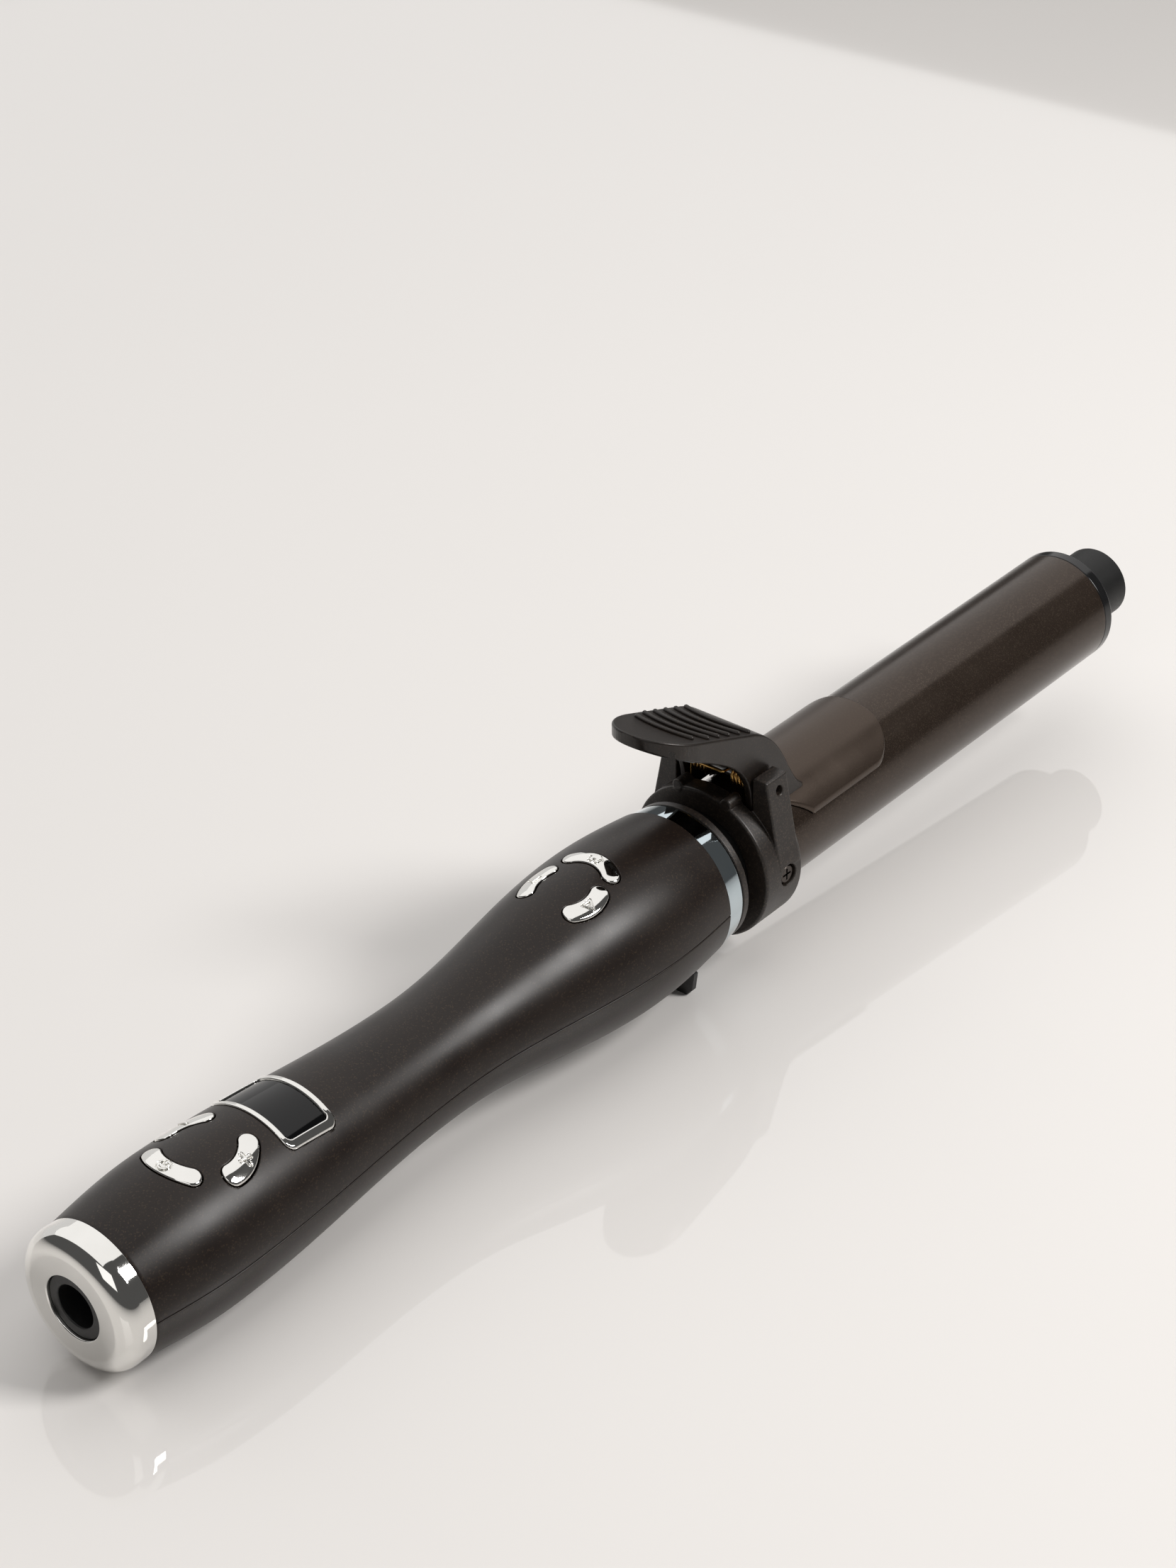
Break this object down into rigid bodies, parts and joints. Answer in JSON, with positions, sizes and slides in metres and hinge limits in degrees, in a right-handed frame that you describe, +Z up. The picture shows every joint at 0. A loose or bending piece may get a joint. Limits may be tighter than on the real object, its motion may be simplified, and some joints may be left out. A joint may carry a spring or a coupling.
{
  "type": "automatic rotating curling iron",
  "caption": "Automatic rotating curling iron: waisted grip with buttons and display, sprung clamp with thumb lever, heated barrel with cool tip, fold-out stand.",
  "frame": {"origin": "centre of the bounding box at the level of the surface the iron rests on", "axes": "+X runs from the end cap towards the cool tip (the iron's axis rises 2.7 degrees towards the tip), +Y to the left of that, +Z up; the clamp and buttons face up"},
  "size_m": [0.3922, 0.0432, 0.0769],
  "materials": {
    "grip_plastic": "soft-touch, fine metallic speckle",
    "chrome_trim": "polished",
    "black_plastic": "satin",
    "display_glass": "gloss",
    "display_back": "matt",
    "circuit_board": "satin",
    "component_grey": "satin",
    "steel": "plain",
    "dark_screw": "blackened",
    "bronze": "sintered",
    "gearbox_brass": "plain",
    "carbon": "matt",
    "gear_plastic": "natural",
    "bracket_plastic": "sparkle brown, satin",
    "lever_plastic": "satin",
    "barrel_coat": "taupe ceramic coat, satin",
    "clip_coat": "taupe ceramic coat, satin",
    "spring_brass": "drawn wire",
    "heater_ceramic": "matt",
    "heater_aluminium": "extruded",
    "flange_gloss": "gloss",
    "tip_plastic": "fine matt"
  },
  "bodies": {
    "handle": {"upper_shell": "grip_plastic", "lower_shell": "grip_plastic", "end_cap": "chrome_trim", "cord_gland": "black_plastic", "cord_clamp": "black_plastic", "cord_clamp_screws": "steel", "display_bezel": "chrome_trim", "display_lens": "display_glass", "display_module": "display_back", "control_board": "circuit_board", "board_components": "component_grey", "front_board": "circuit_board", "tact_switches": "black_plastic", "shell_screws": "steel", "trim_ring": "chrome_trim", "bearing_plate": "black_plastic", "front_bearing": "bronze", "rear_bearing": "bronze", "bulkhead": "black_plastic", "motor_can": "steel", "gearbox": "gearbox_brass", "brush_block": "black_plastic", "carbon_brushes": "carbon", "stand_pin": "steel"},
    "barrel": {"spindle": "black_plastic", "drive_gear": "gear_plastic", "slip_ring": "bronze", "shield_ring": "bracket_plastic", "flange_screws": "steel", "rear_insulator": "black_plastic", "clamp_bracket": "bracket_plastic", "bracket_screws": "dark_screw", "pivot_pin": "steel", "torsion_spring": "spring_brass", "barrel_tube": "barrel_coat", "heater_core": "heater_ceramic", "heat_spreader": "heater_aluminium", "thermostat": "steel", "end_flange": "flange_gloss", "cool_tip": "tip_plastic", "tip_screw": "steel"},
    "clamp": {"thumb_lever": "lever_plastic", "clip_plate": "clip_coat", "lever_rivets": "steel"},
    "motor_pinion": {"pinion": "steel"},
    "stand": {"stand_leg": "black_plastic"},
    "power_key": {"power_button": "chrome_trim"},
    "plus_key": {"plus_button": "chrome_trim"},
    "minus_key": {"minus_button": "chrome_trim"},
    "home_key": {"home_button": "chrome_trim"},
    "left_key": {"left_button": "chrome_trim"},
    "right_key": {"right_button": "chrome_trim"}
  },
  "joints": [
    {"name": "barrel_spin", "type": "hinge", "parent": "handle", "child": "barrel", "pos_m": [-0.00012, 0, 0.02701], "axis": [0.9989, 0, 0.0471], "continuous": true},
    {"name": "pinion_spin", "type": "hinge", "parent": "handle", "child": "motor_pinion", "pos_m": [-0.02008, 0, 0.01706], "axis": [0.9989, 0, 0.0471], "continuous": true},
    {"name": "clamp_pivot", "type": "hinge", "parent": "barrel", "child": "clamp", "pos_m": [0.02229, 0, 0.0506], "axis": [0, -1, 0], "range_deg": [0, 25], "stiffness_Nm_per_rad": 0.35, "springref_deg": -25.78},
    {"name": "stand_hinge", "type": "hinge", "parent": "handle", "child": "stand", "pos_m": [-0.00299, 0, 0.01146], "axis": [0, 1, 0], "range_deg": [0, 90]},
    {"name": "power_press", "type": "slide", "parent": "handle", "child": "power_key", "axis": [0.0471, 0, -0.9989], "range_m": [0, 0.0005], "stiffness_N_per_m": 900, "springref_m": -0.0006},
    {"name": "plus_press", "type": "slide", "parent": "handle", "child": "plus_key", "axis": [0.0471, 0, -0.9989], "range_m": [0, 0.0005], "stiffness_N_per_m": 900, "springref_m": -0.0006},
    {"name": "minus_press", "type": "slide", "parent": "handle", "child": "minus_key", "axis": [0.0471, 0, -0.9989], "range_m": [0, 0.0005], "stiffness_N_per_m": 900, "springref_m": -0.0006},
    {"name": "home_press", "type": "slide", "parent": "handle", "child": "home_key", "axis": [0.0471, 0, -0.9989], "range_m": [0, 0.0005], "stiffness_N_per_m": 900, "springref_m": -0.0006},
    {"name": "left_press", "type": "slide", "parent": "handle", "child": "left_key", "axis": [0.0471, 0, -0.9989], "range_m": [0, 0.0005], "stiffness_N_per_m": 900, "springref_m": -0.0006},
    {"name": "right_press", "type": "slide", "parent": "handle", "child": "right_key", "axis": [0.0471, 0, -0.9989], "range_m": [0, 0.0005], "stiffness_N_per_m": 900, "springref_m": -0.0006}
  ],
  "couplings": [
    {"joint": "pinion_spin", "follows": "barrel_spin", "ratio": -2}
  ]
}
